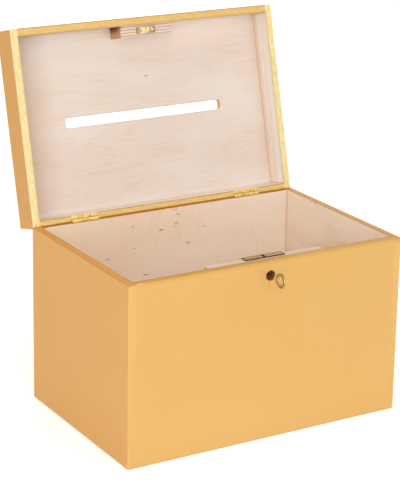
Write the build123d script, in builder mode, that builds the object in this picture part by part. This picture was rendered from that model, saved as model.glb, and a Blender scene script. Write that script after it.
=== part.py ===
"""Desk letter box: a plywood box with a hinged lid, a letter slot and a small brass box lock.

Millimetres, +Z up. The origin is on the floor, under the middle of the box. The front is at -Y.
The lid is modelled open, resting on its stop. All sizes of lid pieces are given as if the lid
were closed: the function opened() then swings their planes about the hinge axis.
"""
from build123d import *
import math
import os

os.makedirs("parts", exist_ok=True)

# ---------------------------------------------------------------- driving dimensions

# Carcass of the box
box_width = 310.0
box_depth = 202.0
body_height = 184.0          # floor to the rim of the body
lid_height = 32.0            # rim of the lid to its top
wall = 8.0                   # plywood of the walls and of the lid's rails
bottom_thickness = 6.0
top_thickness = 6.0
arris = 0.8                  # bevel of the sanded outer edges

# Letter slot, in the middle of the lid
slot_length = 186.0
slot_width = 10.5
slot_corner = 3.0
slot_easing = 0.6            # bevel of the slot's edges

# Hinges: two butts, let into the rims of the back walls
open_angle = 104.5           # from closed to the stop
rim_gap = 0.3                # between the rims of the closed box
hinge_inset = 2.5            # hinge axis to the back face
hinge_margin = 58.0          # side of the box to the middle of the hinge
hinge_length = 30.0
barrel_radius = 2.0
leaf_thickness = 0.9
middle_knuckle = 6.0
knuckle_gap = 0.3
pin_radius = 1.0
pin_seat_clearance = 0.02    # pin in the body leaf, which holds it
pin_turn_clearance = 0.05    # pin in the lid leaf, which turns on it
barrel_relief = 0.3          # around the barrel, in wood and in the mating leaf
leaf_end_clearance = 0.1
hinge_screw_spacing = 13.0
hinge_screw_setback = 3.6    # from the hinge axis
stop_gap = 0.3               # between the two bevels at the stop

# Countersunk brass screws, one size throughout
screw_length = 8.0
screw_radius = 0.8
screw_head_radius = 1.4
screw_head_angle = 90.0
screw_clearance = 0.05

# Lock: case, cover and face plate, let into a block behind the front wall
lock_setback = 14.0          # middle of the lock to the front face
lock_block_length = 130.0
lock_block_height = 40.0
lock_block_thickness = 8.0
case_width = 34.0
case_height = 25.0
case_thickness = 7.2
case_sheet = 0.7
case_corner = 2.0             # outer radius of the case's lower corners
case_clearance = 0.2         # case in the pocket of the block
face_plate_length = 45.0
face_plate_width = 8.0
face_plate_thickness = 1.0
face_screw_spacing = 39.6
keyhole_drop = 15.0          # rim to the middle of the keyhole
keyhole_radius = 5.25

# Catch on the lid: block, plate and hook with an eye for the bolt
catch_block_length = 60.0
catch_block_thickness = 12.0
catch_recess = 3.0           # block below the rim of the lid
catch_plate_length = 22.0
catch_plate_width = 6.4
catch_plate_thickness = 1.0
catch_screw_spacing = 17.0
hook_reach = 11.0            # tip of the hook beyond the rim of the lid
hook_thickness = 1.5
hook_width = 4.6
hook_tip = 1.5               # metal beyond the eye
eye_width = 3.0
eye_height = 4.5
hook_play_x = 0.75           # hook in the slot of the face plate
hook_play_y = 0.7

# Bolt: a C-shaped plate that slides along X on two studs
bolt_throw = 4.2
bolt_thickness = 2.0
nose_play = 0.6              # above and below the nose, in the eye
nose_gap = 0.9               # tip of the nose to the hook, unlocked
arm_width = 4.0
arm_gap = 2.5                # arm to the shank of the key, locked
bar_height = 5.2
bar_gap = 0.5                # bar to the shank of the key
bar_tail = 10.6              # middle of the lock to the end of the bar
talon_width = 3.6            # notch that the key's bit turns in
talon_play = 0.4             # under the tip of the bit
stud_radius = 0.8
stud_play = 0.1
right_stud = 5.2
left_stud = -8.2
bolt_corner = 1.2

# Spring strip under the bolt
spring_span = 20.0
spring_thickness = 0.3
spring_width = 2.4
spring_gap = 0.1

# Key: pierced bow, hollow shank and one bit
key_turn = 70.0              # from unlocked to locked
shank_radius = 1.8
key_pin_radius = 0.8
key_pin_clearance = 0.05
key_pin_reach = 0.9          # beyond the cover of the case
key_bore_depth = 7.5
key_tip_gap = 0.9            # tip of the shank to the back of the case
bit_reach = 5.0
bit_thickness = 1.6
bit_width = 3.2
bit_end_gap = 0.4            # bit to the tip of the shank
keyway_play = 0.3            # key in the cover's keyhole
bow_radius = 7.5
bow_thickness = 2.2
bow_ring = 2.2
bow_bar = 1.8
bow_bar_lean = 25.0
bow_easing = 0.5             # bevel of the ring's edges
bow_standoff = 17.6          # middle of the bow to the front face

# ---------------------------------------------------------------- levels and places

half_width = box_width / 2
half_depth = box_depth / 2
inner_width = box_width - 2 * wall
lid_rim = body_height + rim_gap
lid_top = lid_rim + lid_height
rail_height = lid_height - top_thickness
hinge_y = half_depth - hinge_inset
hinge_z = body_height + rim_gap / 2
hinge_centres = (hinge_margin - half_width, half_width - hinge_margin)
wall_inside = half_depth - wall

lock_y = -half_depth + lock_setback
block_inside = -wall_inside + lock_block_thickness
case_front = lock_y - case_thickness / 2
case_back = lock_y + case_thickness / 2
cavity_back = case_back - case_sheet
cavity_front = case_front + case_sheet
case_floor = -case_height + case_sheet

# Heights in the lock are counted from the rim of the body
key_height = -keyhole_drop
eye_low = rim_gap - hook_reach + hook_tip
eye_high = eye_low + eye_height
nose_low = eye_low + nose_play
nose_high = eye_high - nose_play
bolt_back = lock_y + bolt_thickness / 2
nose_tip = hook_thickness / 2 + nose_gap
arm_left = shank_radius + arm_gap + bolt_throw
arm_right = arm_left + arm_width
bar_high = key_height - shank_radius - bar_gap
bar_low = bar_high - bar_height
talon_floor = key_height - bit_reach - talon_play
stud_height = (bar_high + bar_low) / 2

lid_swing = (
    Pos(0, hinge_y, hinge_z) * Rot(-open_angle, 0, 0) * Pos(0, -hinge_y, -hinge_z)
)


def standing(plane):
    """The place of a piece of the body: where it is given."""
    return plane


def opened(plane):
    """The place of a piece of the lid: given for the closed lid, swung open."""
    return Plane(lid_swing * plane.location)


def lock_plane(y):
    """An upright plane across the lock at this y, seen from the front: X right, heights up."""
    return Plane(origin=(0, y, body_height), x_dir=(1, 0, 0), z_dir=(0, -1, 0))


def finish(piece, name):
    """Label a finished piece and write its file."""
    piece.part.label = name
    export_step(piece.part, f"parts/{name}.step")


# ---------------------------------------------------------------- shared features


def height_axis(place):
    """Axis that measures the heights that are given for the closed box."""
    floor = place(Plane.XY)
    return Axis(floor.origin, floor.z_dir)


def depth_axis(place):
    """Axis that measures the depths, front to back, that are given for the closed box."""
    floor = place(Plane.XY)
    return Axis(floor.origin, floor.y_dir)


def stop_bevel(side):
    """Cut the bevel that stops the lid from a YZ profile: side is -1 below the hinge, +1 above.

    The bevel passes the hinge axis at half the opening angle, set back by half the stop gap,
    and runs out past the back face.
    """
    slope = math.radians(open_angle / 2)
    setback = stop_gap / 2
    run = (hinge_inset + arris) / math.cos(slope)
    corners = []
    for reach in (-run, run):
        back = reach * math.cos(slope) - setback * math.sin(slope)
        away = reach * math.sin(slope) + setback * math.cos(slope)
        corners.append((hinge_y + back, hinge_z + side * away))
    corners.append((corners[1][0], corners[0][1]))
    Polygon(*corners, align=None, mode=Mode.SUBTRACT)


def side_board(place, hand, low, high, side):
    """A side wall or side rail over the full depth, with its outer edges eased.

    hand is -1 for the left and +1 for the right; side is -1 for the body and +1 for the lid.
    """
    rim = high if side < 0 else low
    glued = low if side < 0 else high
    heights = height_axis(place)
    depths = depth_axis(place)
    with BuildPart() as board:
        with BuildSketch(place(Plane.YZ.offset(hand * half_width))):
            with Locations((0, (low + high) / 2)):
                Rectangle(box_depth, high - low)
            stop_bevel(side)
        extrude(amount=-hand * wall)
        # The outer face is eased all round but at the bevel and where it is glued to a panel,
        # and so is the front end of the rim
        outer = board.faces().sort_by(Axis.X)[-1 if hand > 0 else 0].edges()
        bevel_edge = outer.filter_by_position(depths, hinge_y, half_depth - arris / 2)
        glued_edge = outer.filter_by_position(heights, glued - arris / 2, glued + arris / 2)
        rim_edges = board.edges().filter_by_position(heights, rim - arris / 2, rim + arris / 2)
        rim_end = rim_edges.sort_by(depths)[0:1]
        chamfer(outer - bevel_edge - glued_edge + rim_end, arris)
    return board


def front_board(place, low, high, side):
    """The front wall or front rail, between the sides, with its outer rim edge eased."""
    rim = high if side < 0 else low
    with BuildPart() as board:
        with BuildSketch(place(Plane.XZ.offset(half_depth))):
            with Locations((0, (low + high) / 2)):
                Rectangle(inner_width, high - low)
        extrude(amount=-wall)
        rim_edges = board.edges().filter_by_position(
            height_axis(place), rim - arris / 2, rim + arris / 2
        )
        chamfer(rim_edges.filter_by(Axis.X).sort_by(depth_axis(place))[0], arris)
    return board


def back_board(place, low, high, side):
    """The back wall or back rail, between the sides, bevelled and cut out for both hinges."""
    rim = high if side < 0 else low
    with BuildPart() as board:
        with BuildSketch(place(Plane.YZ.offset(-inner_width / 2))):
            with Locations((half_depth - wall / 2, (low + high) / 2)):
                Rectangle(wall, high - low)
            stop_bevel(side)
        extrude(amount=inner_width)
        for centre in hinge_centres:
            with BuildSketch(place(Plane.YZ.offset(centre))):
                leaf_section(rim, side, hinge_y)
                with Locations((hinge_y, hinge_z)):
                    Circle(barrel_radius + barrel_relief)
            extrude(amount=hinge_length / 2 + leaf_end_clearance, both=True, mode=Mode.SUBTRACT)
            pilot_holes(hinge_screw_seats(place, centre, rim, side))
    return board


def panel(place, low, thickness, outer_side):
    """A bottom or top panel over the full width and depth; outer_side is -1 down, +1 up."""
    with BuildPart() as board:
        with BuildSketch(place(Plane.XY.offset(low))):
            Rectangle(box_width, box_depth)
        extrude(amount=thickness)
        floor = place(Plane.XY)
        corners = board.edges().filter_by(Axis(floor.origin, floor.z_dir))
        outer = board.faces().sort_by(height_axis(place))[-1 if outer_side > 0 else 0]
        chamfer(corners + outer.edges(), arris)
    return board


def turn_screw(seat):
    """A countersunk screw, turned about the normal of its seat on the plate that it holds."""
    head_height = (screw_head_radius - screw_radius) / math.tan(math.radians(screw_head_angle / 2))
    with BuildSketch(Plane(seat.origin, x_dir=seat.x_dir, z_dir=-seat.y_dir)) as half_section:
        Polygon(
            (0, 0),
            (screw_head_radius, 0),
            (screw_radius, -head_height),
            (screw_radius, -screw_length),
            (0, -screw_length),
            align=None,
        )
    revolve(half_section.sketch, axis=Axis(seat.origin, seat.z_dir))


def countersunk_holes(seats):
    """The holes for these screws in the plate that they hold."""
    with Locations(*seats):
        CounterSinkHole(
            screw_radius + screw_clearance,
            screw_head_radius + screw_clearance,
            screw_length,
            screw_head_angle,
        )


def pilot_holes(seats):
    """The holes for these screws in the wood under the plate."""
    with Locations(*seats):
        Hole(screw_radius + screw_clearance, screw_length + screw_clearance)


# ---------------------------------------------------------------- hinges


def leaf_section(rim, side, edge):
    """Cross-section of a hinge leaf, let into the rim, from the inside of the wall to this edge."""
    with Locations(((wall_inside + edge) / 2, rim + side * leaf_thickness / 2)):
        Rectangle(edge - wall_inside, leaf_thickness)


def hinge_screw_seats(place, centre, rim, side):
    """The two seats of a leaf's screws, on the leaf's face."""
    seats = []
    for x in (centre - hinge_screw_spacing / 2, centre + hinge_screw_spacing / 2):
        origin = (x, hinge_y - hinge_screw_setback, rim)
        seats.append(place(Plane(origin, x_dir=(1, 0, 0), z_dir=(0, 0, -side))))
    return seats


def hinge_leaf(place, centre, rim, side, own_knuckles, bore_clearance):
    """One leaf with its knuckles; own_knuckles lists the start and length of each along X."""
    start = centre - hinge_length / 2
    with BuildPart() as leaf:
        with BuildSketch(place(Plane.YZ.offset(start))):
            leaf_section(rim, side, hinge_y - barrel_radius - barrel_relief)
        extrude(amount=hinge_length)
        for offset, length in own_knuckles:
            with BuildSketch(place(Plane.YZ.offset(start + offset))):
                with Locations((hinge_y, hinge_z)):
                    Circle(barrel_radius)
                leaf_section(rim, side, hinge_y)
            extrude(amount=length)
        with BuildSketch(place(Plane.YZ.offset(start))):
            with Locations((hinge_y, hinge_z)):
                Circle(pin_radius + bore_clearance)
        extrude(amount=hinge_length, mode=Mode.SUBTRACT)
        countersunk_holes(hinge_screw_seats(place, centre, rim, side))
    return leaf


outer_knuckle = (hinge_length - middle_knuckle) / 2 - knuckle_gap
outer_knuckles = ((0, outer_knuckle), (hinge_length - outer_knuckle, outer_knuckle))
middle_knuckles = ((outer_knuckle + knuckle_gap, middle_knuckle),)

for hand_name, centre in zip(("left", "right"), hinge_centres):
    body_leaf = hinge_leaf(
        standing, centre, body_height, -1, outer_knuckles, pin_seat_clearance
    )
    finish(body_leaf, f"{hand_name}_hinge_body_leaf")
    lid_leaf = hinge_leaf(opened, centre, lid_rim, 1, middle_knuckles, pin_turn_clearance)
    finish(lid_leaf, f"{hand_name}_hinge_lid_leaf")

with BuildPart() as hinge_pins:
    for centre in hinge_centres:
        with BuildSketch(Plane.YZ.offset(centre)):
            with Locations((hinge_y, hinge_z)):
                Circle(pin_radius)
        extrude(amount=hinge_length / 2, both=True)
finish(hinge_pins, "hinge_pins")

with BuildPart() as body_hinge_screws:
    for centre in hinge_centres:
        for seat in hinge_screw_seats(standing, centre, body_height, -1):
            turn_screw(seat)
finish(body_hinge_screws, "body_hinge_screws")

with BuildPart() as lid_hinge_screws:
    for centre in hinge_centres:
        for seat in hinge_screw_seats(opened, centre, lid_rim, 1):
            turn_screw(seat)
finish(lid_hinge_screws, "lid_hinge_screws")

# ---------------------------------------------------------------- body of the box

finish(panel(standing, 0, bottom_thickness, -1), "bottom_panel")
finish(side_board(standing, -1, bottom_thickness, body_height, -1), "left_wall")
finish(side_board(standing, 1, bottom_thickness, body_height, -1), "right_wall")
finish(back_board(standing, bottom_thickness, body_height, -1), "back_wall")

with BuildPart() as front_wall:
    add(front_board(standing, bottom_thickness, body_height, -1).part)
    with BuildSketch(lock_plane(-half_depth)):
        with Locations((0, key_height)):
            Circle(keyhole_radius)
    extrude(amount=-wall, mode=Mode.SUBTRACT)
finish(front_wall, "front_wall")

# ---------------------------------------------------------------- lid

finish(side_board(opened, -1, lid_rim, lid_rim + rail_height, 1), "lid_left_rail")
finish(side_board(opened, 1, lid_rim, lid_rim + rail_height, 1), "lid_right_rail")
finish(front_board(opened, lid_rim, lid_rim + rail_height, 1), "lid_front_rail")
finish(back_board(opened, lid_rim, lid_rim + rail_height, 1), "lid_back_rail")

with BuildPart() as lid_panel:
    add(panel(opened, lid_top - top_thickness, top_thickness, 1).part)
    with BuildSketch(opened(Plane.XY.offset(lid_top))):
        RectangleRounded(slot_length, slot_width, slot_corner)
    extrude(amount=-top_thickness, mode=Mode.SUBTRACT)
    slot_edges = lid_panel.edges(Select.LAST).filter_by(height_axis(opened), reverse=True)
    chamfer(slot_edges, slot_easing)
finish(lid_panel, "lid_panel")

catch_face = lid_rim + catch_recess
plate_face = catch_face - catch_plate_thickness
catch_screw_seats = [
    opened(Plane((x, lock_y, plate_face), x_dir=(1, 0, 0), z_dir=(0, 0, -1)))
    for x in (-catch_screw_spacing / 2, catch_screw_spacing / 2)
]

with BuildPart() as catch_block:
    with BuildSketch(opened(Plane.XY.offset(catch_face))):
        with Locations((0, -wall_inside + catch_block_thickness / 2)):
            Rectangle(catch_block_length, catch_block_thickness)
    extrude(amount=rail_height - catch_recess)
    pilot_holes(catch_screw_seats)
finish(catch_block, "catch_block")

# The hook stands out from the middle of the plate, with its eye open along X
hook_low = lid_rim - hook_reach
with BuildPart() as catch_plate:
    with BuildSketch(opened(Plane.XY.offset(catch_face))):
        with Locations((0, lock_y)):
            Rectangle(catch_plate_length, catch_plate_width)
    extrude(amount=-catch_plate_thickness)
    with BuildSketch(opened(Plane.YZ)) as hook:
        with Locations((lock_y, (hook_low + catch_face) / 2)):
            Rectangle(hook_width, catch_face - hook_low)
        fillet(hook.vertices().group_by(Axis.Y)[0], hook_tip)
        with Locations((lock_y, hook_low + hook_tip + eye_height / 2)):
            Rectangle(eye_width, eye_height, mode=Mode.SUBTRACT)
    extrude(amount=hook_thickness / 2, both=True)
    countersunk_holes(catch_screw_seats)
finish(catch_plate, "catch_plate")

with BuildPart() as catch_screws:
    for seat in catch_screw_seats:
        turn_screw(seat)
finish(catch_screws, "catch_screws")

# ---------------------------------------------------------------- lock

face_plate_top = body_height + face_plate_thickness
face_screw_seats = [
    Plane((x, lock_y, face_plate_top), x_dir=(1, 0, 0), z_dir=(0, 0, 1))
    for x in (-face_screw_spacing / 2, face_screw_spacing / 2)
]

with BuildPart() as lock_block:
    with BuildSketch(lock_plane(-wall_inside)):
        with Locations((0, -lock_block_height / 2)):
            Rectangle(lock_block_length, lock_block_height)
        with Locations((0, key_height)):
            Circle(keyhole_radius, mode=Mode.SUBTRACT)
    extrude(amount=-lock_block_thickness)
    with BuildSketch(lock_plane(block_inside)):
        with Locations((0, -case_height / 2)):
            Rectangle(case_width + 2 * case_clearance, case_height)
    extrude(amount=block_inside - case_front + case_clearance, mode=Mode.SUBTRACT)
    pilot_holes(face_screw_seats)
finish(lock_block, "lock_block")

# Pressed tray, open at the front for the cover and at the top for the face plate
cavity_width = case_width - 2 * case_sheet
with BuildPart() as lock_case:
    with BuildSketch(lock_plane(case_back)) as outside:
        with Locations((0, -case_height / 2)):
            Rectangle(case_width, case_height)
        fillet(outside.vertices().group_by(Axis.Y)[0], case_corner)
    extrude(amount=case_thickness)
    with BuildSketch(lock_plane(cavity_back)) as cavity:
        with Locations((0, case_floor / 2)):
            Rectangle(cavity_width, -case_floor)
        fillet(cavity.vertices().group_by(Axis.Y)[0], case_corner - case_sheet)
    extrude(amount=case_thickness, mode=Mode.SUBTRACT)
finish(lock_case, "lock_case")

with BuildPart() as lock_cover:
    with BuildSketch(lock_plane(cavity_front)) as cover_outline:
        with Locations((0, case_floor / 2)):
            Rectangle(cavity_width, -case_floor)
        fillet(cover_outline.vertices().group_by(Axis.Y)[0], case_corner - case_sheet)
        with Locations((0, key_height)):
            Circle(shank_radius + keyway_play, mode=Mode.SUBTRACT)
        with Locations((0, key_height - (bit_reach + keyway_play) / 2)):
            Rectangle(bit_thickness + 2 * keyway_play, bit_reach + keyway_play, mode=Mode.SUBTRACT)
    extrude(amount=case_sheet)
finish(lock_cover, "lock_cover")

with BuildPart() as lock_face_plate:
    with BuildSketch(Plane.XY.offset(body_height)):
        with Locations((0, lock_y)):
            Rectangle(face_plate_length, face_plate_width)
            Rectangle(
                hook_thickness + 2 * hook_play_x, hook_width + 2 * hook_play_y, mode=Mode.SUBTRACT
            )
    extrude(amount=face_plate_thickness)
    countersunk_holes(face_screw_seats)
finish(lock_face_plate, "lock_face_plate")

with BuildPart() as lock_screws:
    for seat in face_screw_seats:
        turn_screw(seat)
finish(lock_screws, "lock_screws")

with BuildPart() as key_pin:
    with BuildSketch(lock_plane(cavity_back)):
        with Locations((0, key_height)):
            Circle(key_pin_radius)
    extrude(amount=cavity_back - case_front + key_pin_reach)
finish(key_pin, "key_pin")

with BuildPart() as bolt_studs:
    for x in (left_stud, right_stud):
        with BuildSketch(lock_plane(cavity_back)):
            with Locations((x, stud_height)):
                Circle(stud_radius)
        extrude(amount=cavity_back - cavity_front)
finish(bolt_studs, "bolt_studs")

with BuildPart() as bolt_spring:
    with BuildSketch(lock_plane(lock_y + spring_width / 2)):
        with BuildLine():
            crown = bar_low - spring_gap
            top = ThreePointArc(
                (-spring_span / 2, case_floor + spring_thickness),
                (0, crown),
                (spring_span / 2, case_floor + spring_thickness),
            )
            bottom = ThreePointArc(
                (-spring_span / 2, case_floor),
                (0, crown - spring_thickness),
                (spring_span / 2, case_floor),
            )
            Line(top @ 0, bottom @ 0)
            Line(top @ 1, bottom @ 1)
        make_face()
    extrude(amount=spring_width)
finish(bolt_spring, "bolt_spring")

with BuildPart() as lock_bolt:
    with BuildSketch(lock_plane(bolt_back)) as bolt_outline:
        Polygon(
            (nose_tip, nose_low),
            (nose_tip, nose_high),
            (arm_right, nose_high),
            (arm_right, bar_low),
            (-bar_tail, bar_low),
            (-bar_tail, bar_high),
            (arm_left, bar_high),
            (arm_left, nose_low),
            align=None,
        )
        fillet(bolt_outline.vertices().group_by(Axis.X)[-1], bolt_corner)
        with Locations((0, (bar_high + talon_floor) / 2)):
            Rectangle(talon_width, bar_high - talon_floor, mode=Mode.SUBTRACT)
        for x in (left_stud, right_stud):
            with Locations((x + bolt_throw / 2, stud_height)):
                SlotCenterToCenter(
                    bolt_throw, 2 * (stud_radius + stud_play), mode=Mode.SUBTRACT
                )
    extrude(amount=bolt_thickness)
finish(lock_bolt, "lock_bolt")

# ---------------------------------------------------------------- key

key_z = body_height + key_height
key_tip_y = cavity_back - key_tip_gap
bow_y = -half_depth - bow_standoff
bit_back = key_tip_y - bit_end_gap

with BuildPart() as key:
    with BuildSketch(Plane.YZ):
        with Locations((bow_y, key_z)):
            Circle(bow_radius)
    extrude(amount=bow_thickness / 2, both=True)
    chamfer(key.edges(), bow_easing)
    with BuildSketch(Plane.YZ):
        with Locations((bow_y, key_z)):
            Circle(bow_radius - bow_ring)
    extrude(amount=bow_thickness / 2, both=True, mode=Mode.SUBTRACT)
    with BuildSketch(Plane.YZ):
        with Locations((bow_y, key_z)):
            Rectangle(bow_bar, 2 * bow_radius - bow_ring, rotation=-bow_bar_lean)
    extrude(amount=bow_bar / 2, both=True)
    with BuildSketch(lock_plane(key_tip_y)):
        with Locations((0, key_height)):
            Circle(shank_radius)
    extrude(amount=key_tip_y - bow_y - bow_radius + bow_ring / 2)
    with BuildSketch(Plane.YZ):
        with Locations((bit_back - bit_width / 2, key_z - bit_reach / 2)):
            Rectangle(bit_width, bit_reach)
    extrude(amount=bit_thickness / 2, both=True)
    with BuildSketch(lock_plane(key_tip_y)):
        with Locations((0, key_height)):
            Circle(key_pin_radius + key_pin_clearance)
    extrude(amount=key_bore_depth, mode=Mode.SUBTRACT)
finish(key, "key")
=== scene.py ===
"""Desk letter box of birch plywood, gold outside and bare inside, with a small brass box lock.

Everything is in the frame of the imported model: the floor at Z = 0, the front at -Y. The camera,
the lamps and the floor are placed in metres. The box itself is in millimetres, as on the drawing:
MM turns the finer pieces to metres, and drawing_place gives the finishes a point's millimetres.
"""
import math

import bpy
import numpy as np
from mathutils import Matrix, Vector


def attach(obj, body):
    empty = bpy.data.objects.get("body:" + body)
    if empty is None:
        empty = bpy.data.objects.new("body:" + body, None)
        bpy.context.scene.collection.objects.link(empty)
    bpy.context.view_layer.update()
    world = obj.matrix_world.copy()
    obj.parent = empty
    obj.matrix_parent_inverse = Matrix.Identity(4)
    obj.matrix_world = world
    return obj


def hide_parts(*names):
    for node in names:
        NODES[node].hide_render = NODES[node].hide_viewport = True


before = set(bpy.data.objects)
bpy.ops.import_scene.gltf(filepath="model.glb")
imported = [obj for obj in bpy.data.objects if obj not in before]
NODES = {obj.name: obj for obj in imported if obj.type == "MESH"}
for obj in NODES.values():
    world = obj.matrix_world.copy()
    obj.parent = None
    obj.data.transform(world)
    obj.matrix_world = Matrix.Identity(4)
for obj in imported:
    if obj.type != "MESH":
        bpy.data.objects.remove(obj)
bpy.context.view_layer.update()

MM = 0.001

# The drawing's sizes that the finishes and the finer pieces need, in millimetres, lid closed
HALF_WIDTH, HALF_DEPTH = 155.0, 101.0
INNER_X, INNER_Y = 147.0, 93.0
BOTTOM_TOP, BODY_RIM = 6.0, 184.0
LID_RIM, PANEL_LOW, LID_TOP = 184.3, 210.3, 216.3
HINGE_Y, HINGE_Z, OPEN_ANGLE = 98.5, 184.15, math.radians(104.5)
SLOT_HALF_LENGTH, SLOT_HALF_WIDTH = 93.0, 5.25
PLY_LAYER, BLOCK_END = 1.5, 30.0
LOCK_Y, KEY_Z, BOW_Y = -87.0, 169.0, -118.6

# Colours of the wood and of the paint that more than one board shares
RING, FIBRE, PORE, GLUE_AND_SHADE, KNOT = "#D9B58C", "#D2B196", "#A98066", "#D39A62", "#64340F"
GOLD, THIN_GOLD, STROKE, FLAKE, RIM_SHADE_LINE = "#DEB36D", "#D99E4E", "#D39743", "#FBDDA2", "#8C6830"


# ------------------------------------------------------------------ tools for finishes


def linear(code):
    """The linear colour of an sRGB hex code, with alpha 1."""
    parts = np.array([int(code[i:i + 2], 16) for i in (1, 3, 5)]) / 255
    return (*np.where(parts <= 0.04045, parts / 12.92, ((parts + 0.055) / 1.055) ** 2.4), 1.0)


def add(tree, kind, inputs=(), out=0, **settings):
    """Adds a node and gives back one of its outputs.

    Settings are its properties. Inputs are its sockets by order or by name, each a value, a hex
    colour or an output to link. A Mix has its share at 0, its two numbers at 2 and 3 and its two
    colours at 6 and 7, and gives its colour at 2.
    """
    made = tree.nodes.new("ShaderNode" + kind)
    for name, value in settings.items():
        setattr(made, name, value)
    for key, value in inputs.items() if isinstance(inputs, dict) else enumerate(inputs):
        if isinstance(value, bpy.types.NodeSocket):
            tree.links.new(value, made.inputs[key])
        else:
            made.inputs[key].default_value = linear(value) if isinstance(value, str) else value
    return made.outputs[out] if made.outputs else made


def new_finish(name):
    """An empty material and its Principled shader."""
    material = bpy.data.materials.new(name)
    material.use_nodes = True
    material.node_tree.nodes.clear()
    shader = material.node_tree.nodes.new("ShaderNodeBsdfPrincipled")
    add(material.node_tree, "OutputMaterial", {"Surface": shader.outputs[0]})
    return material, shader


def drawing_place(tree, on_lid):
    """Where a point is on the drawing of the closed box, in millimetres.

    The lid is modelled open, so its points are turned back about the hinge to the closed lid.
    """
    here = add(tree, "TexCoord", out="Object")
    turn = OPEN_ANGLE if on_lid else 0.0
    away_y = HINGE_Y - (HINGE_Y * math.cos(turn) - HINGE_Z * math.sin(turn))
    away_z = HINGE_Z - (HINGE_Y * math.sin(turn) + HINGE_Z * math.cos(turn))
    return add(tree, "Mapping", {
        "Vector": here, "Location": (0, away_y, away_z), "Rotation": (turn, 0, 0),
        "Scale": (1 / MM, 1 / MM, 1 / MM),
    })


def along_grain(tree, place, turned, length, width):
    """The place in steps of a pattern: this length along the grain, this width across it, in mm.

    The grain is along X, or along Y if turned.
    """
    along = add(tree, "Mapping", {"Vector": place, "Rotation": (0, 0, math.pi / 2 if turned else 0)})
    return add(tree, "VectorMath", [along, (1 / length, 1 / width, 1 / width)], operation="MULTIPLY")


def spots(tree, place, tone, marks):
    """The tone with marks, each an oval: its centre, its reach along X, Y and Z, colour and depth.

    A mark is full to 0.4 of its reach and gone at 1.3.
    """
    for centre, reach, colour, depth in marks:
        away = add(tree, "VectorMath", [place, centre], operation="SUBTRACT")
        away = add(tree, "VectorMath", [away, [1 / r for r in reach]], operation="MULTIPLY")
        away = add(tree, "VectorMath", [away], "Value", operation="LENGTH")
        share = add(tree, "MapRange", [away, 0.4, 1.3, depth, 0.0])
        tone = add(tree, "Mix", {0: share, 6: tone, 7: colour}, 2, data_type="RGBA")
    return tone


# ------------------------------------------------------------------ camera, lamps and floor


def set_camera():
    """Long lens, a little left of the front and above it, tilted by one degree."""
    place = Vector((-0.91256, -1.47651, 0.74106))
    yaw, pitch, roll = (math.radians(a) for a in (-31.158, -16.565, 1.035))
    ahead = Vector((-math.sin(yaw) * math.cos(pitch), math.cos(yaw) * math.cos(pitch), math.sin(pitch)))
    right = Vector((math.cos(yaw), math.sin(yaw), 0))
    up = right.cross(ahead)
    tilted_right = right * math.cos(roll) + up * math.sin(roll)
    tilted_up = up * math.cos(roll) - right * math.sin(roll)
    data = bpy.data.cameras.new("studio_camera")
    data.lens, data.sensor_width, data.shift_y, data.clip_end = 135.9, 36.0, -0.1, 50
    camera = bpy.data.objects.new("studio_camera", data)
    turned = Matrix((tilted_right, tilted_up, -ahead)).transposed().to_4x4()
    camera.matrix_world = Matrix.Translation(place) @ turned
    bpy.context.scene.collection.objects.link(camera)
    bpy.context.scene.camera = camera


def soft_lamp(name, place, side, watts, tint="#FFFFFF"):
    """A square soft box at this place, side metres wide, aimed at the middle of the box."""
    middle = Vector((0, 0, 0.18))
    data = bpy.data.lights.new(name, "AREA")
    data.shape, data.size, data.energy = "SQUARE", side, watts
    data.color = linear(tint)[:3]
    lamp = bpy.data.objects.new(name, data)
    lamp.location = place
    lamp.rotation_mode = "QUATERNION"
    lamp.rotation_quaternion = (Vector(place) - middle).to_track_quat("Z", "Y")
    bpy.context.scene.collection.objects.link(lamp)


def seen_directly(tree):
    """1 for rays from the camera, a mirror or glass, and 0 for the light that falls on things."""
    path = tree.nodes.new("ShaderNodeLightPath")
    mirrored = add(tree, "Math", [path.outputs["Is Camera Ray"], path.outputs["Is Glossy Ray"]],
                   operation="MAXIMUM")
    return add(tree, "Math", [mirrored, path.outputs["Is Transmission Ray"]], operation="MAXIMUM")


def light_studio():
    """A white room: even light from all round, white where a ray sees it or is mirrored in it."""
    world = bpy.data.worlds.new("white_room")
    bpy.context.scene.world = world
    world.use_nodes = True
    tree = world.node_tree
    tree.nodes.clear()
    light, white = 0.63, 1.0
    strength = add(tree, "MapRange", {"Value": seen_directly(tree), "To Min": light, "To Max": white})
    shine = add(tree, "Background", {"Color": "#FFFFFF", "Strength": strength})
    add(tree, "OutputWorld", {"Surface": shine})
    soft_lamp("key_lamp", (0.6, -1.85, 0.25), 1.1, 6.8, "#FFFAF2")
    soft_lamp("fill_lamp", (-0.9, -1.6, 0.9), 1.6, 17.3)
    soft_lamp("overhead_lamp", (0.0, -0.4, 2.2), 1.8, 7)
    soft_lamp("back_lamp", (0.5, 2.1, 0.7), 1.6, 8.5)


def lay_floor():
    """A white sheet just under the box that keeps its shadow.

    Where a ray sees it directly it has some white of its own, which brings it up to the white room.
    """
    half, level, own_white = 6.0, -0.0003, 0.38
    mesh = bpy.data.meshes.new("floor")
    corners = [(-half, -half, level), (half, -half, level), (half, half, level), (-half, half, level)]
    mesh.from_pydata(corners, [], [(0, 1, 2, 3)])
    floor = bpy.data.objects.new("floor", mesh)
    bpy.context.scene.collection.objects.link(floor)
    material = bpy.data.materials.new("white paper sweep")
    material.use_nodes = True
    tree = material.node_tree
    tree.nodes.clear()
    paper = add(tree, "BsdfDiffuse", {"Color": "#F0F0F0"})
    lift = add(tree, "Math", [seen_directly(tree), own_white], operation="MULTIPLY")
    glow = add(tree, "Emission", {"Color": "#FFFFFF", "Strength": lift})
    add(tree, "OutputMaterial", {"Surface": add(tree, "AddShader", [paper, glow])})
    mesh.materials.append(material)


# ------------------------------------------------------------------ birch and gold

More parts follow.
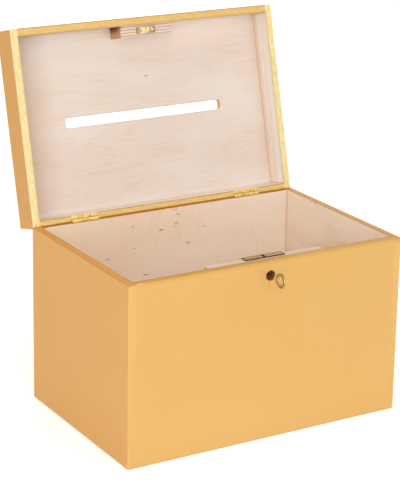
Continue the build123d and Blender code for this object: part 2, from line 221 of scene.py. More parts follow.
# A dot of the render is about 0.9 mm of the box. Wood fibres, pores, paint flakes and brushed
# lines are finer than that, so each is drawn as coarse as it needs to show.


def birch(tree, place, turned, cream, blush, patch, arch):
    """Colour and height of sanded birch veneer, with the grain along X, or along Y if turned.

    Birch veneer is peeled from the log, so its year rings show as wandering arches: the lines of
    equal height of a smooth noise. arch is the length and width of an arch in mm, how many rings
    it has and how strong they are. patch is the length and width of the blushed patches in mm.
    """
    patches = add(tree, "TexNoise", {"Vector": along_grain(tree, place, turned, *patch),
                                     "Scale": 1.0, "Detail": 2.0, "Roughness": 0.5})
    blushed = add(tree, "MapRange", [patches, 0.40, 0.64], interpolation_type="SMOOTHSTEP")
    tone = add(tree, "Mix", {0: blushed, 6: cream, 7: blush}, 2, data_type="RGBA")
    length, width, number, depth = arch
    figure = add(tree, "TexNoise", {"Vector": along_grain(tree, place, turned, length, width),
                                    "Scale": 1.0, "Detail": 2.5, "Roughness": 0.42, "Distortion": 0.4})
    rings = add(tree, "Math", [add(tree, "Math", [figure, number], operation="MULTIPLY"), 0.5],
                operation="PINGPONG")
    line = add(tree, "MapRange", [rings, 0.0, 0.20, 1.0, 0.0], interpolation_type="SMOOTHSTEP")
    fade = add(tree, "MapRange", [patches, 0.40, 0.60, 0.15 * depth, depth])
    tone = add(tree, "Mix", {0: add(tree, "Math", [line, fade], operation="MULTIPLY"),
                             6: tone, 7: RING}, 2, data_type="RGBA")
    # Fibres are really 0.02 mm wide; bundles 0.6 mm wide and 31 mm long are drawn
    fibres = add(tree, "TexNoise", {"Vector": along_grain(tree, place, turned, 31, 0.625),
                                    "Scale": 1.0, "Detail": 4.0, "Roughness": 0.65})
    tone = add(tree, "Mix", {0: add(tree, "MapRange", [fibres, 0.38, 0.72, 0.0, 0.16]),
                             6: tone, 7: FIBRE}, 2, data_type="RGBA")
    # Pores are really 0.1 mm wide and 1 mm long; they are drawn 0.8 mm wide and 10 mm long
    pores = add(tree, "TexNoise", {"Vector": along_grain(tree, place, turned, 9.6, 0.77),
                                   "Scale": 1.0, "Detail": 1.0, "Roughness": 0.5})
    pore_share = add(tree, "MapRange", [pores, 0.69, 0.76, 0.0, 0.16])
    tone = add(tree, "Mix", {0: pore_share, 6: tone, 7: PORE}, 2, data_type="RGBA")
    return tone, add(tree, "Math", [fibres, pore_share], operation="SUBTRACT")


def gold_paint(tree, place, turned, gold):
    """Colour, height and sparkle of the gold paint: strokes along the board, crossed by fainter ones."""
    # Two coats never cover quite alike, in clouds about 80 mm across
    clouds = add(tree, "TexNoise", {"Vector": place, "Scale": 1 / 83, "Detail": 2.0, "Roughness": 0.5})
    tone = add(tree, "Mix", {0: add(tree, "MapRange", [clouds, 0.35, 0.65, 0.0, 0.10]),
                             6: gold, 7: THIN_GOLD}, 2, data_type="RGBA")
    # Bristles leave lines 0.2 mm wide; they are drawn 0.8 mm wide, and 1.1 mm wide across the board
    strokes = add(tree, "TexNoise", {"Vector": along_grain(tree, place, turned, 38, 0.77),
                                     "Scale": 1.0, "Detail": 4.0, "Roughness": 0.65})
    crossing = add(tree, "TexNoise", {"Vector": along_grain(tree, place, turned, 1.14, 28.6),
                                      "Scale": 1.0, "Detail": 3.0, "Roughness": 0.6})
    height = add(tree, "Math", [strokes, crossing], operation="ADD")
    tone = add(tree, "Mix", {0: add(tree, "MapRange", [height, 0.85, 1.25, 0.0, 0.16]),
                             6: tone, 7: STROKE}, 2, data_type="RGBA")
    # Flakes are really 0.05 mm across; clusters 0.6 mm across are drawn
    sparkle = add(tree, "TexNoise", {"Vector": place, "Scale": 1 / 0.59, "Detail": 2.0,
                                     "Roughness": 0.6})
    tone = add(tree, "Mix", {0: add(tree, "MapRange", [sparkle, 0.60, 0.74, 0.0, 0.30]),
                             6: tone, 7: FLAKE}, 2, data_type="RGBA")
    return tone, height, sparkle


def way_to_edge(tree, place, half_x, half_y, low, high):
    """How far a point on a face of this block is from the block's nearest edge, in millimetres.

    The gaps to the three pairs of faces are added two at a time; on a face one gap is nothing,
    so the smallest sum is the way to the edge.
    """
    centred = add(tree, "VectorMath", [place, (0, 0, (low + high) / 2)], operation="SUBTRACT")
    spread = add(tree, "VectorMath", [centred], operation="ABSOLUTE")
    gaps = add(tree, "VectorMath", [(half_x, half_y, (high - low) / 2), spread], operation="SUBTRACT")
    gaps = add(tree, "VectorMath", [gaps], operation="ABSOLUTE")
    x, y, z = add(tree, "SeparateXYZ", [gaps]).node.outputs
    sums = [add(tree, "Math", pair, operation="ADD") for pair in ((x, y), (y, z), (x, z))]
    nearest = add(tree, "Math", sums[:2], operation="MINIMUM")
    return add(tree, "Math", [nearest, sums[2]], operation="MINIMUM")


def bare_share(tree, place, low, high):
    """1 inside the box between these levels, where the wood is bare, and 0 on the painted outside.

    The paint creeps over the rim's inner edge by up to 0.7 mm, in waves about 4 mm long.
    """
    # A little of the walls is taken in, so that their inner faces count as inside
    into_wall = 0.3
    room = (INNER_X + into_wall, INNER_Y + into_wall, (high - low) / 2)
    centred = add(tree, "VectorMath", [place, (0, 0, (low + high) / 2)], operation="SUBTRACT")
    spread = add(tree, "VectorMath", [centred], operation="ABSOLUTE")
    gaps = add(tree, "VectorMath", [room, spread], operation="SUBTRACT")
    x, y, z = add(tree, "SeparateXYZ", [gaps]).node.outputs
    wander = add(tree, "TexNoise", {"Vector": place, "Scale": 1 / 4, "Detail": 3.0})
    overrun = add(tree, "MapRange", [wander, 0.35, 0.75, 0.0, 0.7])
    upright = add(tree, "Math", [z, overrun], operation="SUBTRACT")
    inside = add(tree, "Math", [add(tree, "Math", [x, y], operation="MINIMUM"), upright],
                 operation="MINIMUM")
    return add(tree, "MapRange", [inside, 0.0, 0.12])


def slot_share(tree, place):
    """Gold that ran over the slot's inner edge, in spots up to 2.6 mm wide, one every 11 mm or so."""
    spread = add(tree, "VectorMath", [place], operation="ABSOLUTE")
    x, y = add(tree, "SeparateXYZ", [spread]).node.outputs[:2]
    past_end = add(tree, "Math", [x, SLOT_HALF_LENGTH], operation="SUBTRACT")
    past_side = add(tree, "Math", [y, SLOT_HALF_WIDTH], operation="SUBTRACT")
    past = add(tree, "Math", [past_end, past_side], operation="MAXIMUM")
    wander = add(tree, "TexNoise", {"Vector": place, "Scale": 1 / 11, "Detail": 2.0})
    reach = add(tree, "MapRange", [wander, 0.50, 0.75, -0.2, 2.6])
    over = add(tree, "Math", [reach, past], operation="SUBTRACT")
    return add(tree, "MapRange", [over, 0.0, 1.6, 0.0, 0.6])


def rim_paint(tree, place, turned, bright, deep, line_share):
    """Gold on the flat rim: light and deep by the brush, with a dark line of painted shade along its
    inner edge.
    """
    # The rim takes the brush in short strokes 0.8 mm wide and 6 mm long
    streaks = add(tree, "TexNoise", {"Vector": along_grain(tree, place, turned, 6.4, 0.77),
                                     "Scale": 1.0, "Detail": 4.0, "Roughness": 0.7})
    gold = add(tree, "Mix", {0: add(tree, "MapRange", [streaks, 0.34, 0.60]),
                             6: deep, 7: bright}, 2, data_type="RGBA")
    # A dark line of painted shade along the rim's inner edge
    spread = add(tree, "VectorMath", [place], operation="ABSOLUTE")
    past = add(tree, "VectorMath", [spread, (INNER_X, INNER_Y, 0)], operation="SUBTRACT")
    past = add(tree, "Math", add(tree, "SeparateXYZ", [past]).node.outputs[:2], operation="MAXIMUM")
    line = add(tree, "MapRange", [past, 0.3, 1.3, line_share, 0.0])
    return add(tree, "Mix", {0: line, 6: gold, 7: RIM_SHADE_LINE}, 2, data_type="RGBA")


def worn_and_lit_edges(tree, place, paint, sparkle, low, high, upright_gold, level_gold):
    """The paint with its outer edges worn by handling over about 1 mm, with painted highlight
    and painted shade there, as a rounded edge would catch or lose the light.

    The upright edges turn one gold, and the level ones, the board's last 2 mm up or down, another.
    """
    to_edge = way_to_edge(tree, place, HALF_WIDTH, HALF_DEPTH, low, high)
    worn_and_lit = add(tree, "Math", [to_edge, sparkle], operation="ADD")
    worn_and_lit = add(tree, "MapRange", [worn_and_lit, 1.1, 1.9, 0.6, 0.0], interpolation_type="SMOOTHSTEP")
    z = add(tree, "SeparateXYZ", [place], "Z")
    above = add(tree, "Math", [z, (low + high) / 2], operation="SUBTRACT")
    above = add(tree, "Math", [above], operation="ABSOLUTE")
    half = (high - low) / 2
    level = add(tree, "MapRange", [above, half - 2.2, half - 1.6])
    edge_gold = add(tree, "Mix", {0: level, 6: upright_gold, 7: level_gold}, 2, data_type="RGBA")
    return add(tree, "Mix", {0: worn_and_lit, 6: paint, 7: edge_gold}, 2, data_type="RGBA")


def painted_ply(name, on_lid, turned, rim, arris, cream, blush, patch, arch, marks=(), paint_marks=()):
    """Birch plywood, bare inside and satin gold outside and on its rim.

    rim is the light and the deep gold of the flat rim and how dark its inner line of painted
    shade is. arris is the gold along the upright and along the level outer edges: wear, painted
    highlight and painted shade. The bare wood (cream to blush, see birch) and the paint each have
    their marks (see spots).
    """
    material, shader = new_finish(name)
    tree = material.node_tree
    place = drawing_place(tree, on_lid)
    # The bare inside is taken 1.2 mm past the panel's face, further than the paint creeps. Boards
    # meet in its corners but not at its open side, so for the glue it goes on far past the rim
    if on_lid:
        low, high, side_shade_gold = LID_RIM, LID_TOP, "#E4A85A"
        rim_from, rim_to = LID_RIM + 0.4, LID_RIM + 0.1
        bare = bare_share(tree, place, LID_RIM + 0.1, PANEL_LOW + 1.2)
        to_corner = way_to_edge(tree, place, INNER_X, INNER_Y, -PANEL_LOW, PANEL_LOW)
    else:
        low, high, side_shade_gold = 0.0, BODY_RIM, "#E9B062"
        rim_from, rim_to = BODY_RIM - 0.4, BODY_RIM - 0.1
        bare = bare_share(tree, place, BOTTOM_TOP - 1.2, BODY_RIM - 0.1)
        to_corner = way_to_edge(tree, place, INNER_X, INNER_Y, BOTTOM_TOP, 500.0)
    wood, wood_height = birch(tree, place, turned, cream, blush, patch, arch)
    # A darker line 1 to 2 mm wide in the inside corners: glue that came out of the joints, and
    # painted shade of the corner
    glue_and_shade = add(tree, "MapRange", [to_corner, 0.4, 2.2, 0.4, 0.0], interpolation_type="SMOOTHSTEP")
    wood = add(tree, "Mix", {0: glue_and_shade, 6: wood, 7: GLUE_AND_SHADE}, 2, data_type="RGBA")
    wood = spots(tree, place, wood, marks)
    x, _, z = add(tree, "SeparateXYZ", [place]).node.outputs
    # Painted shade: the outer side faces take a deeper gold than the front, the lid's a little more
    beside = add(tree, "MapRange", [add(tree, "Math", [x], operation="ABSOLUTE"),
                                    HALF_WIDTH - 0.7, HALF_WIDTH - 0.1])
    gold = add(tree, "Mix", {0: beside, 6: GOLD, 7: side_shade_gold}, 2, data_type="RGBA")
    paint, paint_height, sparkle = gold_paint(tree, place, turned, gold)
    paint = add(tree, "Mix", {0: add(tree, "MapRange", [z, rim_from, rim_to]), 6: paint,
                             7: rim_paint(tree, place, turned, *rim)}, 2, data_type="RGBA")
    paint = worn_and_lit_edges(tree, place, paint, sparkle, low, high, *arris)
    paint = spots(tree, place, paint, paint_marks)
    if on_lid:
        bare = add(tree, "Math", [bare, slot_share(tree, place)], operation="SUBTRACT", use_clamp=True)
    colour = add(tree, "Mix", {0: bare, 6: paint, 7: wood}, 2, data_type="RGBA")
    tree.links.new(colour, shader.inputs["Base Color"])
    gloss = add(tree, "MapRange", [sparkle, 0.3, 0.7, 0.46, 0.36])
    tree.links.new(add(tree, "Mix", {0: bare, 2: gloss, 3: 0.68}), shader.inputs["Roughness"])
    # Flakes lie in about an eighth of the paint's face; the binder and dry wood shine little
    shader.inputs["Specular IOR Level"].default_value = 0.15
    tree.links.new(add(tree, "MapRange", [bare, 0.0, 1.0, 0.12, 0.0]), shader.inputs["Metallic"])
    height = add(tree, "Mix", {0: bare, 2: paint_height, 3: wood_height})
    bump = add(tree, "Bump", {"Strength": 0.25, "Distance": 0.0001, "Height": height})
    tree.links.new(bump, shader.inputs["Normal"])
    return material


def bare_ply(name, on_lid, cream, blush, line_share, end_share, marks=()):
    """A bare block cut from birch plywood: layers 1.5 mm thick, one behind the other from the front.

    On the sawn faces the cross layers show as darker lines, and the sawn ends are brown: end grain,
    with painted shade as well.
    """
    material, shader = new_finish(name)
    tree = material.node_tree
    place = drawing_place(tree, on_lid)
    wood, wood_height = birch(tree, place, False, cream, blush, (200, 20), (200, 20, 8, 0.2))
    x, y = add(tree, "SeparateXYZ", [place]).node.outputs[:2]
    depth = add(tree, "Math", [y, INNER_Y], operation="ADD")
    layer = add(tree, "Math", [add(tree, "Math", [depth, PLY_LAYER], operation="DIVIDE"), 1.0],
                operation="PINGPONG")
    cross = add(tree, "MapRange", [layer, 0.6, 0.8, 0.0, line_share])
    # Cut fibre ends are really 0.1 mm across; they are drawn 0.6 mm across
    speckle = add(tree, "TexNoise", {"Vector": place, "Scale": 1 / 0.56, "Detail": 3.0})
    sawn = add(tree, "Mix", {0: add(tree, "MapRange", [speckle, 0.3, 0.7]),
                             6: "#A9775A", 7: "#CFA182"}, 2, data_type="RGBA")
    colour = add(tree, "Mix", {0: cross, 6: wood, 7: sawn}, 2, data_type="RGBA")
    spread = add(tree, "Math", [x], operation="ABSOLUTE")
    end = add(tree, "MapRange", [spread, BLOCK_END - 0.3, BLOCK_END - 0.05, 0.0, end_share])
    colour = add(tree, "Mix", {0: end, 6: colour, 7: "#D0966A"}, 2, data_type="RGBA")
    colour = spots(tree, place, colour, marks)
    tree.links.new(colour, shader.inputs["Base Color"])
    shader.inputs["Roughness"].default_value = 0.7
    shader.inputs["Specular IOR Level"].default_value = 0.3
    height = add(tree, "Math", [wood_height, cross], operation="SUBTRACT")
    bump = add(tree, "Bump", {"Strength": 0.3, "Distance": 0.00015, "Height": height})
    tree.links.new(bump, shader.inputs["Normal"])
    return material


# ------------------------------------------------------------------ metals


def tarnish_border(tree, place, colour, patches, half, front, back):
    """The colour with a dark wandering border round a plate of this half width, front and back."""
    moved = add(tree, "VectorMath", [place, (0, (front + back) / 2, 0)], operation="SUBTRACT")
    spread = add(tree, "VectorMath", [moved], operation="ABSOLUTE")
    room = add(tree, "VectorMath", [(half, (back - front) / 2, 0), spread], operation="SUBTRACT")
    nearest = add(tree, "Math", add(tree, "SeparateXYZ", [room]).node.outputs[:2], operation="MINIMUM")
    border = add(tree, "Math", [nearest, patches], operation="ADD")
    dark = add(tree, "MapRange", [border, 0.9, 1.7, 0.9, 0.0], interpolation_type="SMOOTHSTEP")
    return add(tree, "Mix", {0: dark, 6: colour, 7: "#4A3018"}, 2, data_type="RGBA")


def metal(name, bright, dull, roughness, on_lid=False, tarnish=None, marks=()):
    """A metal with brushed lines along X, dull patches and marks.

    tarnish is the half width and the front and back of a plate whose border has gone dark.
    """
    material, shader = new_finish(name)
    tree = material.node_tree
    place = drawing_place(tree, on_lid)
    # Fingers and air dull the metal in patches about 3 mm across
    patches = add(tree, "TexNoise", {"Vector": place, "Scale": 1 / 2.9, "Detail": 4.0,
                                     "Roughness": 0.6})
    dulled = add(tree, "MapRange", [patches, 0.45, 0.75], interpolation_type="SMOOTHSTEP")
    colour = add(tree, "Mix", {0: dulled, 6: bright, 7: dull}, 2, data_type="RGBA")
    colour = spots(tree, place, colour, marks)
    if tarnish:
        colour = tarnish_border(tree, place, colour, patches, *tarnish)
    # Brushed lines are really 0.02 mm wide; they are drawn 0.6 mm wide and 12 mm long
    lines = add(tree, "TexNoise", {"Vector": along_grain(tree, place, False, 12, 0.6),
                                   "Scale": 1.0, "Detail": 2.0})
    rough = add(tree, "MapRange", [lines, 0.3, 0.7, roughness - 0.06, roughness + 0.08])
    tree.links.new(colour, shader.inputs["Base Color"])
    tree.links.new(rough, shader.inputs["Roughness"])
    shader.inputs["Metallic"].default_value = 1.0
    bump = add(tree, "Bump", {"Strength": 0.2, "Distance": 0.00001, "Height": lines})
    tree.links.new(bump, shader.inputs["Normal"])
    return material


# ------------------------------------------------------------------ finer pieces


def grid_faces(rows, columns):
    """Quads between neighbouring rows of a grid whose columns close on themselves."""
    row, column = np.arange(rows - 1)[:, None] * columns, np.arange(columns)[None, :]
    first, beside = row + column, row + (column + 1) % columns
    return np.stack([first, beside, beside + columns, first + columns], axis=-1).reshape(-1, 4)


def rings_shell(rings):
    """A closed shell from an array of rings of points: quads between them and a fan at each end."""
    rows, columns = rings.shape[:2]
    around = np.arange(columns)
    beside = (around + 1) % columns
    last = (rows - 1) * columns
    low_cap = np.stack([np.full(columns, rows * columns), beside, around], axis=-1)
    high_cap = np.stack([np.full(columns, rows * columns + 1), last + around, last + beside], axis=-1)
    points = np.concatenate([rings.reshape(-1, 3), [rings[0].mean(0), rings[-1].mean(0)]])
    return points, [grid_faces(rows, columns), low_cap, high_cap]


def full_turn(steps):
    """Angles of a full turn in this many equal steps."""
    return np.linspace(0, 2 * math.pi, steps, endpoint=False)


def make_piece(name, shells, body, node, material):
    """One mesh of several closed shells, each given as points in millimetres and arrays of faces."""
    sharp = math.radians(40)
    starts = np.cumsum([0] + [len(points) for points, groups in shells])
    faces = [face for start, (points, groups) in zip(starts, shells)
             for group in groups for face in (group + start).tolist()]
    mesh = bpy.data.meshes.new(name)
    mesh.from_pydata((np.concatenate([points for points, groups in shells]) * MM).tolist(), [], faces)
    mesh.materials.append(material)
    mesh.shade_smooth()
    mesh.set_sharp_from_angle(angle=sharp)
    piece = bpy.data.objects.new(name, mesh)
    bpy.context.scene.collection.objects.link(piece)
    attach(piece, body)
    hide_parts(node)


def key_bow():
    """Ring of the key: a rounded section 3 wide and 2.2 thick swept round a circle of radius 6.

    The section is half its size times the cosine and the sine, each to the power 0.7 with its
    sign kept, which squares an ellipse a little.
    """
    radius, half_wide, half_thick, square = 6.0, 1.5, 1.1, 0.7
    around, section = 72, 20
    u, v = full_turn(around)[:, None], full_turn(section)[None, :]
    across = half_wide * np.sign(np.cos(v)) * np.abs(np.cos(v)) ** square
    thick = half_thick * np.sign(np.sin(v)) * np.abs(np.sin(v)) ** square
    y = BOW_Y + (radius + across) * np.sin(u)
    z = KEY_Z + (radius + across) * np.cos(u)
    points = np.stack([thick + 0 * u, y, z], axis=-1)
    quads = grid_faces(around + 1, section) % (around * section)
    return points.reshape(-1, 3), [quads]


def bow_bar():
    """Bar across the bow: an oval section carried along a line that leans 25 degrees.

    Its half width grows from 0.75 by 0.35 times the fourth power of the way to the ring.
    """
    lean, reach, half_thick = math.radians(25), 6.2, 0.8
    t, v = np.linspace(-reach, reach, 21)[:, None], full_turn(16)[None, :]
    half_wide = 0.75 + 0.35 * (np.abs(t) / reach) ** 4
    side = half_wide * np.cos(v)
    out = half_thick * np.sin(v) + 0 * t
    y = BOW_Y + t * math.sin(lean) + side * math.cos(lean)
    z = KEY_Z + t * math.cos(lean) - side * math.sin(lean)
    return rings_shell(np.stack([out, y, z], axis=-1)[:, ::-1])


def key_shank():
    """Turned shank: a profile of radius against length spun about the key's axis, with the pin's bore."""
    tip, bow_end = -84.99, BOW_Y + 6.6
    profile = np.array([
        (bow_end, 1.1), (bow_end + 0.5, 1.5), (bow_end + 1.0, 1.8), (bow_end + 1.5, 1.8),
        (bow_end + 1.8, 1.45), (bow_end + 2.2, 1.45), (bow_end + 2.5, 1.8), (bow_end + 3.1, 1.8),
        (bow_end + 3.5, 1.62), (tip - 6.0, 1.62), (tip - 5.6, 1.8), (tip - 0.3, 1.8), (tip, 1.55),
        (tip, 0.95), (tip - 0.1, 0.85), (tip - 7.3, 0.85), (tip - 7.5, 0.5),
    ])
    v = full_turn(32)[None, :]
    y, radius = profile[:, :1], profile[:, 1:]
    return rings_shell(np.stack([radius * np.sin(v), y + 0 * v, KEY_Z + radius * np.cos(v)], axis=-1))


def key_bit():
    """Bit under the shank: a rounded outline with one ward cut, 1.6 thick, with its rims eased.

    The outline is carried across X, and the first and last copy are shrunk towards its middle.
    """
    back, front = -85.39, -88.59
    low, high = KEY_Z - 5.0, KEY_Z - 1.0
    outline = np.array([
        (front, high), (front, low + 0.3), (front + 0.3, low), (front + 1.2, low),
        (front + 1.2, low + 1.2), (front + 1.9, low + 1.2), (front + 1.9, low),
        (back - 0.3, low), (back, low + 0.3), (back, high),
    ])
    middle = outline.mean(0)
    eased = middle + (outline - middle) * 0.93
    layers = [(-0.8, eased), (-0.65, outline), (0.65, outline), (0.8, eased)]
    return rings_shell(np.stack([np.column_stack([np.full(len(o), x), o]) for x, o in layers]))


def screw_shell(seat, across, outward, turn):
    """A slotted countersunk screw at this seat.

    Its head is cut in columns across the disc, so the slot's walls are straight: each column is as
    long as the disc there, and lower and shorter in the slot. Below it every ring keeps the angles
    of the head's rim, and the shank's radius follows a thread: a wave of angle and depth.
    """
    head, shank, length, slot_half, slot_deep = 1.4, 0.8, 8.0, 0.24, 0.45
    pitch, thread_deep, thread_from, taper_length = 0.85, 0.16, 1.2, 0.8
    steps, thread_rings = 9, 34
    x = np.array([-0.995, -0.93, -0.8, -0.6, -0.4, -0.2])
    x = head * np.concatenate([x, [-slot_half / head - 0.004, -slot_half / head]])
    x = np.concatenate([x, [-0.1, 0.1], -x[::-1]])
    sunk = np.abs(x) <= slot_half + 1e-6
    radius = np.where(sunk, head - slot_deep, head)
    level = np.where(sunk, -slot_deep, 0.0)
    reach = np.sqrt(np.maximum(radius ** 2 - x ** 2, 0))
    b = np.linspace(-1, 1, steps)
    top = np.stack([x[:, None] + 0 * b, reach[:, None] * b, level[:, None] + 0 * b], axis=-1)
    columns = len(x)
    index = np.arange(columns * steps).reshape(columns, steps)
    top_faces = np.stack([index[:-1, :-1], index[1:, :-1], index[1:, 1:], index[:-1, 1:]], axis=-1)
    rim = np.concatenate([index[:, 0], index[-1, 1:], index[::-1, -1][1:], index[0, ::-1][1:-1]])
    edge = top.reshape(-1, 3)[rim]
    angle = np.arctan2(edge[:, 1], edge[:, 0])
    depth = np.linspace(0.9, length - 0.8, thread_rings)
    depth = np.concatenate([[0.6], depth, [length - 0.3, length - 0.02]])
    wave = 0.5 + 0.5 * np.cos(2 * math.pi * depth[:, None] / pitch - angle[None, :])
    taper = np.clip((length - depth) / taper_length, 0.15, 1)[:, None]
    threaded = (depth > thread_from)[:, None] * thread_deep
    thread_radius = (shank - threaded * wave) * taper
    rings = np.stack([thread_radius * np.cos(angle), thread_radius * np.sin(angle),
                      -depth[:, None] + 0 * angle], axis=-1)
    points = np.concatenate([top.reshape(-1, 3), rings.reshape(-1, 3), [[0, 0, -length]]])
    around = len(rim)
    beside = (np.arange(around) + 1) % around
    start = columns * steps
    collar = np.stack([rim, start + np.arange(around), start + beside, rim[beside]], axis=-1)
    side = start + grid_faces(len(depth), around)[:, ::-1]
    last = start + (len(depth) - 1) * around
    tip = np.stack([last + np.arange(around), np.full(around, len(points) - 1), last + beside], axis=-1)
    outward, across = Vector(outward), Vector(across)
    away = outward.cross(across)
    basis = np.array([across * math.cos(turn) + away * math.sin(turn),
                      away * math.cos(turn) - across * math.sin(turn), outward])
    return points @ basis + np.array(seat), [top_faces.reshape(-1, 4), collar, side, tip]


def swung(point, direction=False):
    """A point or direction of the closed lid, in millimetres, where the open lid has it."""
    x, y, z = point
    hinge_y, hinge_z = (0, 0) if direction else (HINGE_Y, HINGE_Z)
    dy, dz = y - hinge_y, z - hinge_z
    c, s = math.cos(-OPEN_ANGLE), math.sin(-OPEN_ANGLE)
    return (x, hinge_y + dy * c - dz * s, hinge_z + dy * s + dz * c)


def fit_screws(finish):
    """Slotted screws in the seats of the drawing; each stands with its slot as it was left."""
    across, up = (1, 0, 0), (0, 0, 1)
    down = swung((0, 0, -1), True)
    turns = iter((0.5, 1.9, 1.1, 2.6, 0.2, 1.4, 2.2, 0.8, 1.0, 2.5, 0.35, 1.7))
    hinge_x, catch_x, lock_x = (-103.5, -90.5, 90.5, 103.5), (-8.5, 8.5), (-19.8, 19.8)
    hinge_y = HINGE_Y - 3.6
    plate_top, lock_seat = LID_RIM + 2.0, BODY_RIM + 1.0
    groups = (
        ("body_hinge_screws", "box", [((x, hinge_y, BODY_RIM), up) for x in hinge_x]),
        ("lid_hinge_screws", "lid", [(swung((x, hinge_y, LID_RIM)), down) for x in hinge_x]),
        ("catch_screws", "lid", [(swung((x, LOCK_Y, plate_top)), down) for x in catch_x]),
        ("lock_screws", "box", [((x, LOCK_Y, lock_seat), up) for x in lock_x]),
    )
    for node, body, seats in groups:
        shells = [screw_shell(seat, across, outward, next(turns)) for seat, outward in seats]
        make_piece("slotted_" + node, shells, body, node, finish)


# ------------------------------------------------------------------ the box


def dress(names, finish):
    """Gives these nodes of the model one finish."""
    for name in names:
        mesh = NODES[name].data
        mesh.materials.clear()
        mesh.materials.append(finish)


def knots(*sizes):
    """Small knots and flecks of the back wall: X, Z, reach along X and along Z, and depth of each."""
    return tuple(((x, INNER_Y, z), (wide, 9, high), KNOT, depth) for x, z, wide, high, depth in sizes)


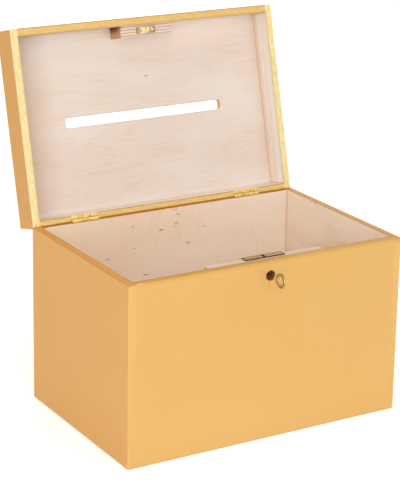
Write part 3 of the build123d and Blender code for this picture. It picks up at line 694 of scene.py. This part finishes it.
def dress_wood():
    """Paint and bare wood on the boards, and cut ply on the two blocks.

    The boards are birch plywood 8 mm thick, cut, glued and sanded. Bare birch scatters light in
    its dry fibres: it is matt, cream to pink, with faint arches. The paint holds gold flakes in a
    satin binder: one warm gold from every side with a broad soft shine, streaked by the brush.
    """
    # Front and bottom: flat even paint, with painted shade making it a little deeper towards the rim.
    # A narrow line along the rim's edge is deeper still. The keyhole was drilled through it and shows
    # brown wood, darkened with painted shade and lit low on its right with painted light. Below the
    # keyhole runs a deeper orange streak, and the rim's left corner has a painted highlight
    front_y = -HALF_DEPTH
    dress(("front_wall", "bottom_panel"), painted_ply(
        "gold paint on birch ply, front", on_lid=False, turned=False,
        rim=("#D9A24E", "#C68E40", 0.7), arris=("#F4CB8C", "#DCAE68"),
        cream="#F6E9DB", blush="#EFD5BF", patch=(160, 56), arch=(167, 50, 12, 0.3),
        paint_marks=(
            ((0, front_y, BODY_RIM), (400, 6, 120), "#C4964E", 0.22),
            ((0, front_y, BODY_RIM), (400, 2.4, 3.0), "#CC9440", 0.4),
            ((0, -94.5, KEY_Z), (9.0, 5.6, 9.0), "#673A1A", 0.95),
            ((1.5, -95.5, KEY_Z - 4.6), (5.0, 4.2, 2.6), "#B47A3E", 0.85),
            ((-1.2, front_y, 158.5), (1.7, 4.0, 5.0), "#D9924A", 0.55),
            ((-144, front_y, 183.9), (6.0, 1.2, 0.8), "#FADFA4", 0.6))))
    # Back: veneer with small knots, darker towards the rim and the left and palest low on the
    # right, and its rim painted deep brown-gold: painted shade of the open lid
    dress(("back_wall",), painted_ply(
        "gold paint on birch ply, back", on_lid=False, turned=False,
        rim=("#B77824", "#A6681A", 0.0), arris=("#E9BC7C", "#C98F40"),
        cream="#FFF2E4", blush="#FEEBDB", patch=(160, 56), arch=(55, 130, 12, 0.28),
        marks=(
            ((-150, INNER_Y, 150), (220, 400, 400), "#F7DCBD", 0.6),
            ((0, INNER_Y, 190), (400, 400, 60), "#E2CAB0", 0.42),
            ((80, INNER_Y, 95), (140, 400, 60), "#FFF3DF", 0.5),
            *knots((10.1, 175.9, 2.6, 0.5, 0.8), (-10.1, 161.5, 2.8, 0.8, 0.9),
                   (8.0, 166.5, 3.0, 0.5, 0.8), (7.5, 163.0, 2.2, 0.4, 0.6),
                   (22.7, 143.3, 3.2, 0.5, 0.7), (23.5, 141.3, 2.6, 0.4, 0.6),
                   (-73.6, 138.9, 2.2, 0.8, 0.6), (-42.0, 146.0, 1.6, 0.5, 0.6),
                   (-27.8, 114.8, 4.0, 0.6, 0.7), (-43.8, 170.2, 2.4, 1.6, 0.25),
                   (43.3, 157.9, 2.6, 1.2, 0.2), (5.0, 181.6, 4.0, 0.6, 0.35)))))
    # Sides: the grain runs from front to back, and the right rim is a little browner
    dress(("left_wall", "right_wall"), painted_ply(
        "gold paint on birch ply, sides", on_lid=False, turned=True,
        rim=("#E3A146", "#D3923A", 0.3), arris=("#F0BE78", "#C08A44"),
        cream="#FFF0DC", blush="#FBE3C8", patch=(156, 62.5), arch=(192, 38.5, 12, 0.26),
        paint_marks=(((151, 0, BODY_RIM), (20, 400, 6), "#B9894F", 0.4),)))
    # Lid panel and its front and back rails: paler veneer with one fleck, lifted with painted light
    # by the front and back rails, and browner at the left end with painted shade of the left rail
    dress(("lid_panel", "lid_front_rail", "lid_back_rail"), painted_ply(
        "gold paint on birch ply, lid", on_lid=True, turned=False,
        rim=("#E8C884", "#D6AC61", 0.6), arris=("#D9A860", "#7E5E2C"),
        cream="#E2D8CF", blush="#DFCFC3", patch=(156, 62.5), arch=(286, 28.6, 15, 0.27),
        marks=(
            ((6.5, -39.4, PANEL_LOW), (2.0, 0.6, 9), KNOT, 0.9),
            ((-148, 0, 210), (36, 400, 400), "#BE9F84", 0.55),
            ((50, -INNER_Y, 210), (130, 26, 40), "#FFF6EC", 0.36),
            ((0, INNER_Y, 210), (400, 5.5, 40), "#FFF6EC", 0.36)),
        paint_marks=(((0, -97, LID_RIM), (400, 20, 1.0), "#CBA058", 0.3),)))
    # The lid's side rails: narrow boards with straight grain, and the brightest rim: a painted sheen
    dress(("lid_left_rail", "lid_right_rail"), painted_ply(
        "gold paint on birch ply, lid sides", on_lid=True, turned=True,
        rim=("#F1E0AA", "#D6BC72", 0.3), arris=("#FFEBB8", "#FFEBB8"),
        cream="#FBF6F0", blush="#F8E7D7", patch=(333, 10), arch=(1111, 11.1, 5, 0.2)))
    # The blocks are offcuts of the same ply left bare; the catch block shows its sawn layers, and
    # painted shade darkens its left end next to the front rail
    dress(("lock_block",), bare_ply(
        "bare birch ply, lock block", on_lid=False, cream="#E3C8B2", blush="#DBBEA6",
        line_share=0.10, end_share=0.0))
    dress(("catch_block",), bare_ply(
        "bare birch ply, catch block", on_lid=True, cream="#E2CEC0", blush="#DEC5B3",
        line_share=1.0, end_share=0.85,
        marks=(((-BLOCK_END, -INNER_Y, 202), (3, 6.5, 17), "#4E2408", 0.9),)))


def dress_metal():
    """Brass, dark brass and spring steel on the hinges, the catch and the lock.

    Brass takes its yellow from its copper and mirrors only in that yellow. How it was worked sets
    how sharp the mirror is, and air darkens it where nobody rubs it.
    """
    # Rolled strip, brushed and never lacquered: a soft even glow; the lid's leaves are duller,
    # painted shade where the lid shades them
    dress(("left_hinge_body_leaf", "right_hinge_body_leaf", "hinge_pins"),
          metal("brushed brass, hinges", "#EACD8A", "#BE9B58", 0.40))
    dress(("left_hinge_lid_leaf", "right_hinge_lid_leaf"),
          metal("brushed brass, lid leaves", "#DDBA74", "#B9924C", 0.42, on_lid=True))
    # Stamped and polished: pale, with a sharper mirror; painted shade darkens its right half and
    # its left end, round its screws
    dress(("catch_plate",), metal(
        "polished brass, catch", "#DCCFAB", "#AD9C74", 0.26, on_lid=True, marks=(
            ((7.0, LOCK_Y, LID_RIM), (8.0, 9, 9), "#7C6E48", 0.9),
            ((-10.5, LOCK_Y, LID_RIM), (4.0, 9, 9), "#7C6E48", 0.8))))
    # Dipped dark and wiped back: brown with a nearly black border
    dress(("lock_face_plate",), metal(
        "antique brass, lock plate", "#BF9F68", "#946F3C", 0.32,
        tarnish=(22.5, LOCK_Y - 4.0, LOCK_Y + 4.0)))
    # Cast, tumbled and handled: a smooth shine, brown in patches
    key_brass = metal("worn brass, key", "#CBA974", "#8A6A3C", 0.36)
    # Never cleaned inside the case, and painted darker still as painted shade: brown and dim
    dress(("lock_case", "lock_cover", "key_pin", "bolt_studs", "lock_bolt"),
          metal("dull brass, inside the lock", "#9A7C48", "#5E4826", 0.4))
    # Drawn wire, hardened: grey with a thin shine
    dress(("bolt_spring",), metal("spring steel", "#B9BABC", "#85868A", 0.3))
    # Turned screws gone dark with the hinges
    fit_screws(metal("dark brass, screws", "#CBA766", "#8E7040", 0.40))
    make_piece("turned_key", [key_bow(), bow_bar(), key_shank(), key_bit()], "key", "key",
               key_brass)


set_camera()
light_studio()
lay_floor()
dress_wood()
dress_metal()

bpy.context.scene.view_settings.view_transform = "Standard"
